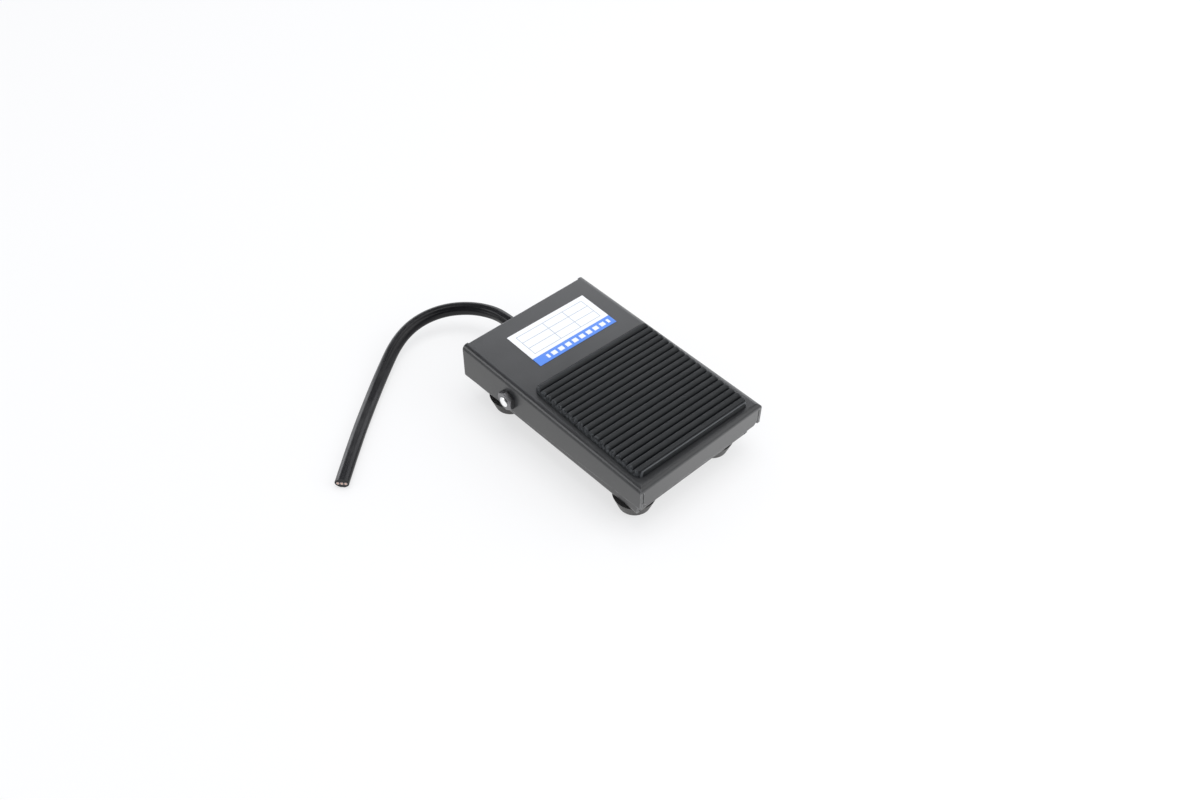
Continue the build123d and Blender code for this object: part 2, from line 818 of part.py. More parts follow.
with BuildPart() as lever_pin:
    pin_half = lug_inner + lug_width
    with BuildSketch(Plane.YZ.offset(-pin_half)):
        with Locations((lever_hinge_y, hinge_z)):
            Circle(lever_pin_radius)
    extrude(amount=2 * pin_half)
save(lever_pin, "lever_pin")

# Press stud under the plate, just over the lever's free end
stud_bottom = leaf_under + lever_sheet + stud_to_hinge * leaf_rise + stud_gap
stud_height = plate_under(stud_y) - stud_bottom
with BuildPart() as press_stud:
    with BuildSketch(plate_plane(0, stud_y, -sheet)):
        Circle(stud_radius)
    extrude(amount=-stud_height)
save(press_stud, "press_stud")

# Switch bracket: an angle riveted to the pan, with the switch screwed to its upright
bracket_outer_x = case_right_x + bracket_sheet
with BuildPart() as switch_bracket:
    with BuildSketch(Plane.XZ.offset(-switch_middle_y - bracket_length / 2)):
        with BuildLine():
            Polyline(
                (case_right_x, pan_floor),
                (case_right_x, pan_floor + bracket_height),
                (bracket_outer_x, pan_floor + bracket_height),
                (bracket_outer_x, pan_floor + bracket_sheet),
                (bracket_outer_x + bracket_foot, pan_floor + bracket_sheet),
                (bracket_outer_x + bracket_foot, pan_floor),
                close=True,
            )
        make_face()
    extrude(amount=bracket_length)
    with BuildSketch(Plane.YZ):
        with Locations(*screw_places):
            Circle(switch_screw_radius + loose_clearance)
    extrude(amount=bracket_outer_x + cut_overrun, mode=Mode.SUBTRACT)
    with BuildSketch(Plane.XY.offset(pan_floor)):
        with Locations(*rivet_points):
            Circle(rivet_radius + loose_clearance)
    extrude(amount=2 * bracket_sheet, mode=Mode.SUBTRACT)
save(switch_bracket, "switch_bracket")

with BuildPart() as bracket_rivets:
    with BuildSketch(Plane.XY.offset(pan_bottom)):
        with Locations(*rivet_points):
            Circle(rivet_radius)
    extrude(amount=pan_sheet + bracket_sheet)
    with BuildSketch(Plane.XY.offset(pan_floor + bracket_sheet)):
        with Locations(*rivet_points):
            Circle(rivet_head_radius)
    extrude(amount=rivet_head_height)
save(bracket_rivets, "bracket_rivets")

cover_left_x = case_left_x - side_cover_height
with BuildPart() as switch_screws:
    with BuildSketch(Plane.YZ.offset(cover_left_x - switch_screw_head_height)):
        with Locations(*screw_places):
            Circle(switch_screw_head_radius)
    extrude(amount=switch_screw_head_height)
    with BuildSketch(Plane.YZ.offset(cover_left_x)):
        with Locations(*screw_places):
            Circle(switch_screw_radius)
    extrude(amount=bracket_outer_x + switch_nut_height + switch_screw_end - cover_left_x)
save(switch_screws, "switch_screws")

with BuildPart() as switch_nuts:
    with BuildSketch(Plane.YZ.offset(bracket_outer_x)):
        with Locations(*screw_places):
            RegularPolygon(across_flats(switch_nut_width), 6)
            Circle(switch_screw_radius + running_clearance, mode=Mode.SUBTRACT)
    extrude(amount=switch_nut_height)
save(switch_nuts, "switch_nuts")

# Cord grommet: a rubber bush that grips the edge of the hole in the rear wall
grommet_front_y = pan_wall_inner_y - grommet_flange_height
bore = cord_radius + grommet_clearance
neck = grommet_hole_radius - grommet_clearance
with BuildPart() as cord_grommet:
    with BuildSketch(Plane.YZ):
        with BuildLine():
            Polyline(
                (grommet_front_y, cord_height + bore),
                (grommet_front_y, cord_height + grommet_flange_radius),
                (pan_wall_inner_y, cord_height + grommet_flange_radius),
                (pan_wall_inner_y, cord_height + neck),
                (pan_rear_y, cord_height + neck),
                (pan_rear_y, cord_height + grommet_flange_radius),
                (grommet_rear_y - grommet_edge, cord_height + grommet_flange_radius),
                (grommet_rear_y, cord_height + grommet_flange_radius - grommet_edge),
                (grommet_rear_y, cord_height + bore),
                close=True,
            )
        make_face()
    revolve(axis=Axis((0, 0, cord_height), (0, 1, 0)))
save(cord_grommet, "cord_grommet")

# Cord clamp: a grooved block and bar that hold the cord, screwed into the pan
clamp_split = cord_height - clamp_gap / 2
bar_bottom = cord_height + clamp_gap / 2
with BuildPart() as clamp_block:
    with BuildSketch(Plane.XY.offset(pan_floor)):
        with Locations((0, clamp_middle_y)):
            Rectangle(2 * clamp_half_width, clamp_length)
        with Locations(*clamp_screw_points):
            Circle(clamp_screw_radius + running_clearance, mode=Mode.SUBTRACT)
    extrude(amount=clamp_split - pan_floor)
    with BuildSketch(Plane.XZ.offset(-clamp_rear_y - cut_overrun)):
        with Locations((0, cord_height)):
            Circle(bore)
    extrude(amount=clamp_length + 2 * cut_overrun, mode=Mode.SUBTRACT)
save(clamp_block, "clamp_block")

with BuildPart() as clamp_bar:
    with BuildSketch(Plane.XY.offset(bar_bottom)):
        with Locations((0, clamp_middle_y)):
            Rectangle(2 * clamp_half_width, clamp_length)
        with Locations(*clamp_screw_points):
            Circle(clamp_screw_radius + loose_clearance, mode=Mode.SUBTRACT)
    extrude(amount=clamp_bar_height)
    with BuildSketch(Plane.XZ.offset(-clamp_rear_y - cut_overrun)):
        with Locations((0, cord_height)):
            Circle(bore)
    extrude(amount=clamp_length + 2 * cut_overrun, mode=Mode.SUBTRACT)
save(clamp_bar, "clamp_bar")

bar_top = bar_bottom + clamp_bar_height
with BuildPart() as clamp_screws:
    with BuildSketch(Plane.XY.offset(pan_bottom + clamp_screw_end_gap)):
        with Locations(*clamp_screw_points):
            Circle(clamp_screw_radius)
    extrude(amount=bar_top - pan_bottom - clamp_screw_end_gap)
    with BuildSketch(Plane.XY.offset(bar_top)):
        with Locations(*clamp_screw_points):
            Circle(clamp_screw_head_radius)
    extrude(amount=clamp_screw_head_height)
save(clamp_screws, "clamp_screws")

# Inner end of the cord, and the two wires that run on to the switch
inner_end_y = grommet_rear_y - cord_inner_length
with BuildPart() as cord_inner_end:
    with BuildSketch(Plane.XZ.offset(-grommet_rear_y)):
        with Locations((0, cord_height)):
            Circle(cord_radius)
    extrude(amount=cord_inner_length)
save(cord_inner_end, "cord_inner_end")

terminal_tip_x = blade_x - terminal_reach - case_width / 2
terminal_z = case_bottom - terminal_drop - terminal_sheet / 2
lane_start_y = pivot_y + sleeve_radius + wire_clearance
lane_middle_z = (pan_floor + pivot_z - sleeve_radius) / 2
wire_plans = [(1, terminal_y[2]), (-1, terminal_y[0])]
with BuildPart() as wires:
    for side, end_y in wire_plans:
        start_z = cord_height + side * wire_spacing / 2
        lane_x = terminal_tip_x - wire_lane + side * wire_spacing / 2
        lane_z = lane_middle_z + side * wire_spacing / 2
        with BuildLine() as wire_line:
            FilletPolyline(
                (0, inner_end_y, start_z),
                (0, inner_end_y - wire_start, start_z),
                (lane_x, lane_start_y, lane_z),
                (lane_x, end_y, terminal_z),
                (terminal_tip_x, end_y, terminal_z),
                radius=wire_bend,
            )
        with BuildSketch(Plane(origin=wire_line.line @ 0, z_dir=wire_line.line % 0)):
            Circle(wire_core_radius)
        sweep(path=wire_line.line)
save(wires, "wires")


def route_radii(points):
    """One bend radius for each inner point, as large as its two runs allow."""
    radii = []
    for before, here, after in zip(points, points[1:], points[2:]):
        first = Vector(here) - Vector(before)
        second = Vector(after) - Vector(here)
        turn = math.radians(first.get_angle(second))
        shorter = min(first.length, second.length)
        radii.append(bend_share * shorter / math.tan(turn / 2))
    return radii


# Cord outside the housing, and the cores that show at its cut end
cord_radii = route_radii(cord_route)
with BuildPart() as cord:
    with BuildLine() as cord_line:
        FilletPolyline(*cord_route, radius=cord_radii)
    with BuildSketch(Plane(origin=cord_line.line @ 0, z_dir=cord_line.line % 0)):
        Circle(cord_radius)
    sweep(path=cord_line.line)
save(cord, "cord")
cord_length = sum(edge.length for edge in cord_line.edges())
print("cord radii", [round(radius, 1) for radius in cord_radii])
print("cord length", round(cord_length, 1))
section_volume = math.pi * cord_radius**2 * cord_length
print("cord volume", round(cord.part.volume, 1), "section times length", round(section_volume, 1))

cut_plane = Plane(origin=cord_line.line @ 1, x_dir=(0.65, -0.76, 0), z_dir=cord_line.line % 1)
with BuildPart() as cord_cores:
    with BuildSketch(cut_plane):
        with GridLocations(core_spacing, 0, 3, 1):
            Circle(core_radius)
    extrude(amount=core_stub)
save(cord_cores, "cord_cores")
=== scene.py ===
# %% [markdown]
# # A small foot switch for a machine
# The object is a folded steel pedal that tilts on a bolt over a steel base pan. A ribbed rubber
# pad takes the shoe, and a short black cord leaves at the rear. The steel parts come from the
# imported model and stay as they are. Here they get their finishes, and the rubber pad, the cord
# and the spring are made as finer meshes.

# %% Load the frame
import math

import bmesh
import bpy
from mathutils import Matrix, Vector


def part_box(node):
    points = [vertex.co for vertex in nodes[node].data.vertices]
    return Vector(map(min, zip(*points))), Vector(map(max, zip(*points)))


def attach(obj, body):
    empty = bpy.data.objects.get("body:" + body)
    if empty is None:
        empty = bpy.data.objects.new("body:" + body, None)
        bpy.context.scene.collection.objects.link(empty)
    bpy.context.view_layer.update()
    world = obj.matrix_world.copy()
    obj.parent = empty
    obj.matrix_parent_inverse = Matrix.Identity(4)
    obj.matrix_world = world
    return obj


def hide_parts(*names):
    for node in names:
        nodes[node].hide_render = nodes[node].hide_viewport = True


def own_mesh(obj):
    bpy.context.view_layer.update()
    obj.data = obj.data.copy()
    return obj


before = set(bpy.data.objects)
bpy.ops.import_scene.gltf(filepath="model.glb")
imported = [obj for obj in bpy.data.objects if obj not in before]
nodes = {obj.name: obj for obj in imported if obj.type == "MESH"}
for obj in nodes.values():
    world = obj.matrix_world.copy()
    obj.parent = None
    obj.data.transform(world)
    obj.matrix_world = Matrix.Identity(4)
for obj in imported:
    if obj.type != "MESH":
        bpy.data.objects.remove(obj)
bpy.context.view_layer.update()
MM = 0.001

# %% [markdown]
# ## The camera
# The photograph looks down at about 45 degrees over the front left corner. Its place and lens
# were worked out from the corners of the plate, so the camera is set by numbers, not by eye.

# %% Camera
camera_place = Vector((-214.88, -225.62, 322.03)) * MM
camera_azimuth = math.radians(-42.99)
camera_height_angle = math.radians(44.953)
camera_data = bpy.data.cameras.new("camera")
camera_data.sensor_width = 36.0
camera_data.lens = 35.52
camera_data.clip_start = 0.01
camera = bpy.data.objects.new("camera", camera_data)
bpy.context.scene.collection.objects.link(camera)
looking = Vector((
    -math.sin(camera_azimuth) * math.cos(camera_height_angle),
    math.cos(camera_azimuth) * math.cos(camera_height_angle),
    -math.sin(camera_height_angle),
))
camera.location = camera_place
camera.rotation_euler = looking.to_track_quat("-Z", "Y").to_euler()
bpy.context.scene.camera = camera
print("camera at", [round(value, 3) for value in camera_place])

# %% [markdown]
# ## The cord
# A cord is a fixed length of something that bends. It leaves the housing straight back, swings
# round to the left and comes down to the floor, where it ends cut off. One smooth spline holds
# its line. The real cord is a little wider than it is thick, because its cores lie side by side,
# so the tube is made as a mesh: an oval section is carried along the line and turned slowly, as
# the cord itself twists.

# %% Helpers for meshes
def add_piece(name, verts, faces, smooth=True):
    """A new mesh object from points and faces."""
    mesh = bpy.data.meshes.new(name)
    mesh.from_pydata([tuple(vert) for vert in verts], [], faces)
    mesh.validate()
    mesh.update()
    for face in mesh.polygons:
        face.use_smooth = smooth
    piece = bpy.data.objects.new(name, mesh)
    bpy.context.scene.collection.objects.link(piece)
    return piece


def face_outwards(piece):
    """Makes all faces of a closed piece point out."""
    work = bmesh.new()
    work.from_mesh(piece.data)
    bmesh.ops.recalc_face_normals(work, faces=work.faces)
    work.to_mesh(piece.data)
    work.free()
    piece.data.update()


def smooth_by_angle(piece, degrees):
    """Smooth shading that stays sharp at edges over this angle."""
    limit = math.radians(degrees)
    work = bmesh.new()
    work.from_mesh(piece.data)
    for edge in work.edges:
        edge.smooth = len(edge.link_faces) != 2 or edge.calc_face_angle() < limit
    for face in work.faces:
        face.smooth = True
    work.to_mesh(piece.data)
    work.free()
    piece.data.update()


# %% The cord's line
cord_route = [
    (0.0, 46.9, 13.0),
    (0.0, 57.0, 13.0),
    (-0.1, 67.2, 11.8),
    (-4.9, 77.4, 10.6),
    (-13.8, 84.6, 9.6),
    (-24.8, 87.1, 8.2),
    (-35.9, 84.7, 6.2),
    (-48.0, 77.2, 3.9),
    (-61.0, 67.7, 2.6),
    (-77.4, 54.2, 2.6),
    (-92.8, 40.4, 2.6),
]
samples_per_span = 14


def smooth_line(name, places):
    """Points along one smooth spline whose control points are these places."""
    curve = bpy.data.curves.new(name, "CURVE")
    curve.dimensions = "3D"
    curve.resolution_u = samples_per_span
    spline = curve.splines.new("NURBS")
    spline.points.add(len(places) - 1)
    for point, place in zip(spline.points, places):
        point.co = (*place, 1.0)
    spline.order_u = 3
    spline.use_endpoint_u = True
    holder = bpy.data.objects.new(name, curve)
    mesh = bpy.data.meshes.new_from_object(holder)
    line = [vert.co.copy() for vert in mesh.vertices]
    bpy.data.objects.remove(holder)
    bpy.data.meshes.remove(mesh)
    return line


cord_line = smooth_line("cord_line", [Vector(place) * MM for place in cord_route])

# %% The cord's section
cord_half_width = 2.65 * MM
cord_half_height = 2.15 * MM
core_count = 3
core_groove = 0.16 * MM
section_points = 48
cord_twist = math.radians(70)
tube_sharp_angle = 50


def cord_section(angle):
    """A point of the oval section, with shallow grooves between the cores."""
    across = math.cos(angle)
    groove = core_groove * (0.5 - 0.5 * math.cos(core_count * math.pi * (across + 1)))
    rise = cord_half_height * math.sin(angle)
    rise -= math.copysign(groove, rise) * abs(math.sin(angle))
    return cord_half_width * across, rise


def carry_section(line, twist_from, twist_to):
    """The section's points at every place of the line, turned evenly from one angle to another."""
    rings = []
    last = len(line) - 1
    for number, place in enumerate(line):
        before = line[max(number - 1, 0)]
        after = line[min(number + 1, last)]
        along = (after - before).normalized()
        side = along.cross(Vector((0, 0, 1))).normalized()
        up = side.cross(along)
        turn = twist_from + (twist_to - twist_from) * number / last
        across = side * math.cos(turn) + up * math.sin(turn)
        rise = up * math.cos(turn) - side * math.sin(turn)
        ring = []
        for step in range(section_points):
            x, y = cord_section(2 * math.pi * step / section_points)
            ring.append(place + across * x + rise * y)
        rings.append(ring)
    return rings


def tube_from_rings(name, rings):
    """A closed tube whose ends are fans of triangles round a middle point."""
    verts = [point for ring in rings for point in ring]
    count = len(rings[0])
    faces = []
    for ring_number in range(len(rings) - 1):
        start = ring_number * count
        for step in range(count):
            following = (step + 1) % count
            near_pair = (start + step, start + following)
            far_pair = (start + count + following, start + count + step)
            faces.append(near_pair + far_pair)
    for ring, offset, order in ((rings[0], 0, -1), (rings[-1], (len(rings) - 1) * count, 1)):
        middle = len(verts)
        verts.append(sum(ring, Vector()) / count)
        for step in range(count):
            pair = (offset + step, offset + (step + 1) % count)
            faces.append((*pair[::order], middle))
    return add_piece(name, verts, faces)


cord = tube_from_rings("cord_tube", carry_section(cord_line, cord_twist, 0.0))
face_outwards(cord)
smooth_by_angle(cord, tube_sharp_angle)
print("cord tube:", len(cord.data.vertices), "points")

# %% [markdown]
# ### The cut end
# The cord was cut with pliers, so its three cores show as small pale discs with a copper middle.
# A lathe helper turns a profile round an axis. It serves every round piece of the cut end.

# %% Lathe helper
on_the_axis = 1e-9
lathe_sharp_angle = 40


def lathe(name, profile, steps):
    """A closed piece turned round +Z from (radius, height) points that start and end on the axis."""
    verts = []
    faces = []
    rows = []
    for radius, height in profile:
        if radius < on_the_axis:
            rows.append([len(verts)])
            verts.append(Vector((0, 0, height)))
            continue
        rows.append(list(range(len(verts), len(verts) + steps)))
        for step in range(steps):
            angle = 2 * math.pi * step / steps
            verts.append(Vector((radius * math.cos(angle), radius * math.sin(angle), height)))
    for low, high in zip(rows, rows[1:]):
        for step in range(steps):
            following = (step + 1) % steps
            if len(low) == 1:
                faces.append((low[0], high[following], high[step]))
            elif len(high) == 1:
                faces.append((low[step], low[following], high[0]))
            else:
                faces.append((low[step], low[following], high[following], high[step]))
    piece = add_piece(name, verts, faces)
    face_outwards(piece)
    smooth_by_angle(piece, lathe_sharp_angle)
    return piece


def aim(piece, place, direction):
    """Stands a piece on a place with its +Z along a direction, and writes that into its mesh."""
    turn = Vector(direction).to_track_quat("Z", "Y").to_matrix().to_4x4()
    piece.data.transform(Matrix.Translation(place) @ turn)
    piece.data.update()


# %% Cut cores
core_radius = 0.62 * MM
core_spacing = 1.45 * MM
core_sunk = 0.4 * MM
core_reach = 0.12 * MM
core_steps = 24
copper_radius = 0.36 * MM
copper_reach = 1.3 * core_reach
copper_steps = 16
end_direction = (cord_line[-1] - cord_line[-2]).normalized()
end_side = end_direction.cross(Vector((0, 0, 1))).normalized()


def plug(name, place, radius, low, high, steps):
    """A short round bar that stands on the cord's cut end."""
    bar = lathe(name, [(0, low), (radius, low), (radius, high), (0, high)], steps)
    aim(bar, place, end_direction)
    return bar


cores = []
coppers = []
for number in range(core_count):
    place = cord_line[-1] + end_side * core_spacing * (number - (core_count - 1) / 2)
    cores.append(plug(f"cord_core_{number + 1}", place, core_radius, -core_sunk, core_reach, core_steps))
    coppers.append(plug(f"copper_{number + 1}", place, copper_radius, 0, copper_reach, copper_steps))
print("cut end:", len(cores), "cores at", [round(value / MM, 1) for value in cord_line[-1]])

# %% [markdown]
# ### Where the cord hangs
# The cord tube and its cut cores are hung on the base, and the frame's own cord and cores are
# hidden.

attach(cord, "base")
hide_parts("cord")
for core, copper in zip(cores, coppers):
    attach(core, "base")
    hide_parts("cord_cores")
    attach(copper, "base")

# %% [markdown]
# ## Floor and light
# The object stands on a white sweep in soft light. The floor is a plain white surface. A share of
# it is shown to the camera at full white, so that the lamps need not be raised for the pale
# background. Black paint shows mostly what it reflects, so the reflections are planned: the floor
# is brightest in front on the right, a bright window stands low on the right, and the room is
# dark on the left and overhead. The dark room is what draws the bends of the steel.

# %% Node helpers
def new_material(name):
    """An empty material and its node tree."""
    material = bpy.data.materials.new(name)
    material.use_nodes = True
    material.node_tree.nodes.clear()
    return material, material.node_tree


def add_node(tree, kind, inputs=None, **settings):
    """One node with its settings, its plain values and its links."""
    node = tree.nodes.new(kind)
    for name, value in settings.items():
        setattr(node, name, value)
    for name, value in (inputs or {}).items():
        if isinstance(value, bpy.types.NodeSocket):
            tree.links.new(value, node.inputs[name])
        else:
            node.inputs[name].default_value = value
    return node


def finish_surface(tree, shader):
    """Sends a shader to the surface output."""
    output = tree.nodes.new("ShaderNodeOutputMaterial")
    tree.links.new(shader, output.inputs["Surface"])


# %% Helpers for values and colours
def maths(tree, operation, *values, **settings):
    """The result of one maths node."""
    node = add_node(tree, "ShaderNodeMath", dict(enumerate(values)), operation=operation, **settings)
    return node.outputs[0]


def vector_maths(tree, operation, *values):
    """The result of one vector maths node: a number for a dot product, else a vector."""
    node = add_node(tree, "ShaderNodeVectorMath", dict(enumerate(values)), operation=operation)
    return node.outputs["Value" if operation == "DOT_PRODUCT" else "Vector"]


def ease(tree, value, start, end, low=0.0, high=1.0, smooth=False):
    """Goes from low to high as the value goes from start to end."""
    return add_node(
        tree,
        "ShaderNodeMapRange",
        {"Value": value, "From Min": start, "From Max": end, "To Min": low, "To Max": high},
        interpolation_type="SMOOTHSTEP" if smooth else "LINEAR",
    ).outputs[0]


def mix_colour(tree, mask, first, second):
    """A colour that goes from the first to the second as the mask rises."""
    node = add_node(tree, "ShaderNodeMix", {"Factor": mask}, data_type="RGBA")
    for index, colour in ((6, first), (7, second)):
        if isinstance(colour, bpy.types.NodeSocket):
            tree.links.new(colour, node.inputs[index])
        else:
            node.inputs[index].default_value = (*colour, 1)
    return node.outputs[2]


# %% Floor
floor_size = 6.0
half_floor = floor_size / 2
floor_mesh = bpy.data.meshes.new("floor")
floor_corners = [(x * half_floor, y * half_floor, 0) for x, y in ((-1, -1), (1, -1), (1, 1), (-1, 1))]
floor_mesh.from_pydata(floor_corners, [], [(0, 1, 2, 3)])
floor = bpy.data.objects.new("floor", floor_mesh)
bpy.context.scene.collection.objects.link(floor)
print("floor:", floor_size, "m wide")

# %% [markdown]
# ### What the floor shows
# The camera sees paper with a share of plain white. A reflection sees only light, and how bright
# it is depends on the place: it rises towards the lamp's side and falls again farther away. The
# ranges are metres from the object's middle towards the lamp, each with its two levels of light.

# %% Floor finish
shown_share = 0.66
paper_colour = (0.9, 0.905, 0.92, 1)
white = (1, 1, 1)
lamp_side = (0.67, -0.74, 0)
near_range, near_levels = (-0.05, 0.13), (1.08, 2.1)
far_range, far_levels = (0.15, 0.32), (1.0, 0.3)
floor_material, tree = new_material("white_floor")
light_path = add_node(tree, "ShaderNodeLightPath").outputs
place = add_node(tree, "ShaderNodeTexCoord").outputs["Object"]
shown = maths(tree, "MULTIPLY", light_path["Is Camera Ray"], shown_share)
seen = maths(tree, "MAXIMUM", shown, light_path["Is Glossy Ray"])
to_the_lamp = vector_maths(tree, "DOT_PRODUCT", place, lamp_side)
near_share = ease(tree, to_the_lamp, *near_range, *near_levels, smooth=True)
far_share = ease(tree, to_the_lamp, *far_range, *far_levels, smooth=True)
mirrored_share = maths(tree, "MULTIPLY", near_share, far_share)
strength = add_node(
    tree,
    "ShaderNodeMix",
    {"Factor": light_path["Is Glossy Ray"], 2: 1.0, 3: mirrored_share},
    data_type="FLOAT",
)
paper = add_node(tree, "ShaderNodeBsdfDiffuse", {"Color": paper_colour})
glow = add_node(tree, "ShaderNodeEmission", {"Color": (*white, 1), "Strength": strength.outputs[0]})
blend = add_node(tree, "ShaderNodeMixShader", {0: seen, 1: paper.outputs[0], 2: glow.outputs[0]})
finish_surface(tree, blend.outputs[0])
floor_mesh.materials.append(floor_material)
print("floor shown at", shown_share, "of full white")

# %% [markdown]
# ### The room in the reflections
# A picture of a studio could be wrapped round the scene, but a few bands of grey do as well and
# can be read. Each band has a place, from 0 on the upper left to 1 on the lower right, and a
# level of light. The two brightest bands are the window. A small gap at the rear left adds one
# more highlight.

# %% Bands of light
window_direction = (0.62, 0.55, -0.56)
gap_direction = (-0.71, 0.52, 0.47)
gap_range, gap_level = (0.93, 0.98), 3.5
room_light = (0.65, 0.66, 0.69)
room_tint = (0.98, 0.99, 1.02)
room_steps = [
    (0.0, 0.05),
    (0.28, 0.08),
    (0.31, 0.24),
    (0.50, 0.2),
    (0.60, 0.28),
    (0.66, 4.6),
    (0.74, 4.6),
    (0.83, 1.0),
    (1.0, 0.8),
]
print("room:", len(room_steps), "bands of light")

# %% Room
world = bpy.data.worlds.new("studio")
world.use_nodes = True
bpy.context.scene.world = world
tree = world.node_tree
tree.nodes.clear()
direction = add_node(tree, "ShaderNodeTexCoord").outputs["Generated"]
to_the_window = vector_maths(tree, "DOT_PRODUCT", direction, window_direction)
ramp = add_node(tree, "ShaderNodeValToRGB", {0: ease(tree, to_the_window, -1.0, 1.0)})
ramp.color_ramp.elements[0].position = room_steps[0][0]
ramp.color_ramp.elements[-1].position = room_steps[-1][0]
for step_place, _ in room_steps[1:-1]:
    ramp.color_ramp.elements.new(step_place)
for stop, (_, level) in zip(ramp.color_ramp.elements, room_steps):
    stop.color = (*(level * share for share in room_tint), 1)
to_the_gap = vector_maths(tree, "DOT_PRODUCT", direction, gap_direction)
gap = ease(tree, to_the_gap, *gap_range, 0.0, gap_level, smooth=True)
room = add_node(
    tree,
    "ShaderNodeMix",
    {"Factor": 1.0, 6: ramp.outputs[0], 7: gap},
    data_type="RGBA",
    blend_type="ADD",
)
light_path = add_node(tree, "ShaderNodeLightPath").outputs
mirrored = mix_colour(tree, light_path["Is Glossy Ray"], room_light, room.outputs[2])
surroundings = mix_colour(tree, light_path["Is Camera Ray"], mirrored, white)
background = add_node(tree, "ShaderNodeBackground", {"Color": surroundings, "Strength": 1.0})
output = tree.nodes.new("ShaderNodeOutputWorld")
tree.links.new(background.outputs[0], output.inputs["Surface"])
print("world:", world.name, "with", len(tree.nodes), "nodes")

# %% [markdown]
# ### Lamps
# Two large soft lamps light the object. The one overhead makes the pale shadow under it, and the
# one in front on the right brightens the front flap. It is large, so that its reflection stays
# soft in the rounded front bend.

# %% Lamps
def add_lamp(name, place, target, size, power, colour):
    """A square soft lamp aimed at a point."""
    data = bpy.data.lights.new(name, "AREA")
    data.shape = "SQUARE"
    data.size = size
    data.energy = power
    data.color = colour
    lamp = bpy.data.objects.new(name, data)
    lamp.location = place
    lamp.rotation_euler = (Vector(target) - Vector(place)).to_track_quat("-Z", "Y").to_euler()
    bpy.context.scene.collection.objects.link(lamp)
    return lamp


lamps = [
    add_lamp(
        "top_box", (0.15, -0.05, 1.3), target=(0, 0, 0), size=0.9, power=7.0, colour=(1.0, 0.99, 0.98)
    ),
    add_lamp(
        "front_box", (0.55, -0.65, 0.5), target=(0, 0, 0.01), size=0.85, power=3.5, colour=(1.0, 0.995, 0.985)
    ),
]
print("lamps:", [lamp.name for lamp in lamps])

# %% [markdown]
# ## Effects that several finishes share
# Fine grain, soft stains and worn edges with a painted highlight come back in most of the finishes. Each is a
# node group with named inputs, built once. A group only puts out masks, values and normals. The shader
# itself stays in each material.

# %% Helpers for groups
mm_per_metre = 1000.0


def new_group(name, inputs, outputs):
    """An empty shader group with its inputs and their first values, and its outputs and their kinds."""
    group = bpy.data.node_groups.new(name, "ShaderNodeTree")
    for socket_name, value in inputs.items():
        socket = group.interface.new_socket(socket_name, in_out="INPUT", socket_type="NodeSocketFloat")
        socket.default_value = value
    for socket_name, kind in outputs.items():
        group.interface.new_socket(socket_name, in_out="OUTPUT", socket_type=kind)
    return group, group.nodes.new("NodeGroupInput").outputs, group.nodes.new("NodeGroupOutput").inputs


def clouds(tree, size, **inputs):
    """Noise with clouds of this size in millimetres."""
    place = add_node(tree, "ShaderNodeTexCoord").outputs["Object"]
    in_mm = vector_maths(tree, "MULTIPLY", place, (mm_per_metre,) * 3)
    per_mm = maths(tree, "DIVIDE", 1.0, size)
    return add_node(tree, "ShaderNodeTexNoise", {"Vector": in_mm, "Scale": per_mm, **inputs}).outputs["Fac"]


# %% Group: grain
grain_group, entry, leave = new_group(
    "fine_grain",
    {"Size": 0.4, "Depth": 0.02, "Detail": 3.0},
    {"Value": "NodeSocketFloat", "Normal": "NodeSocketVector"},
)
noise = clouds(grain_group, entry["Size"], Detail=entry["Detail"], Roughness=0.55)
depth_m = maths(grain_group, "MULTIPLY", entry["Depth"], MM)
bump = add_node(grain_group, "ShaderNodeBump", {"Strength": 1.0, "Distance": depth_m, "Height": noise})
grain_group.links.new(noise, leave["Value"])
grain_group.links.new(bump.outputs["Normal"], leave["Normal"])
print("group:", grain_group.name)

# %% [markdown]
# ### Worn edges and painted edge highlights
# A bevel node gives the normal that a rounded edge would have. Where it differs from the true
# normal, the point is near a bend. Noise then leaves only patches of the bend. These paler
# patches are partly wear and partly a painted highlight, where the bends would catch the light.

# %% Group: worn edges and painted highlights
bend_range = (0.985, 0.86)
patch_range = (0.36, 0.60)
wear_and_highlight_group, entry, leave = new_group(
    "worn_and_highlit_edges",
    {"Width": 0.5, "Patch size": 3.0, "Amount": 0.5},
    {"Mask": "NodeSocketFloat"},
)
width_m = maths(wear_and_highlight_group, "MULTIPLY", entry["Width"], MM)
rounded = add_node(wear_and_highlight_group, "ShaderNodeBevel", {"Radius": width_m}, samples=6).outputs[0]
true_normal = add_node(wear_and_highlight_group, "ShaderNodeNewGeometry").outputs["Normal"]
likeness = vector_maths(wear_and_highlight_group, "DOT_PRODUCT", rounded, true_normal)
bend = ease(wear_and_highlight_group, likeness, *bend_range)
patches = ease(wear_and_highlight_group, clouds(wear_and_highlight_group, entry["Patch size"], Detail=5.0), *patch_range)
worn_and_highlit = maths(wear_and_highlight_group, "MULTIPLY", bend, patches)
wear_and_highlight_mask = maths(wear_and_highlight_group, "MULTIPLY", worn_and_highlit, entry["Amount"], use_clamp=True)
wear_and_highlight_group.links.new(wear_and_highlight_mask, leave["Mask"])
print("group:", wear_and_highlight_group.name)

# %% [markdown]
# ### Soft stains
# Large soft clouds of noise, cut to a range, stand for the slow changes in tone and gloss that
# every real surface has.

# %% Group: soft stains
stain_range = (0.35, 0.7)
stain_group, entry, leave = new_group(
    "soft_stains",
    {"Size": 15.0, "Amount": 0.3},
    {"Mask": "NodeSocketFloat"},
)
stained = ease(stain_group, clouds(stain_group, entry["Size"], Detail=4.0, Distortion=0.6), *stain_range)
stain_mask = maths(stain_group, "MULTIPLY", stained, entry["Amount"], use_clamp=True)
stain_group.links.new(stain_mask, leave["Mask"])
print("group:", stain_group.name)


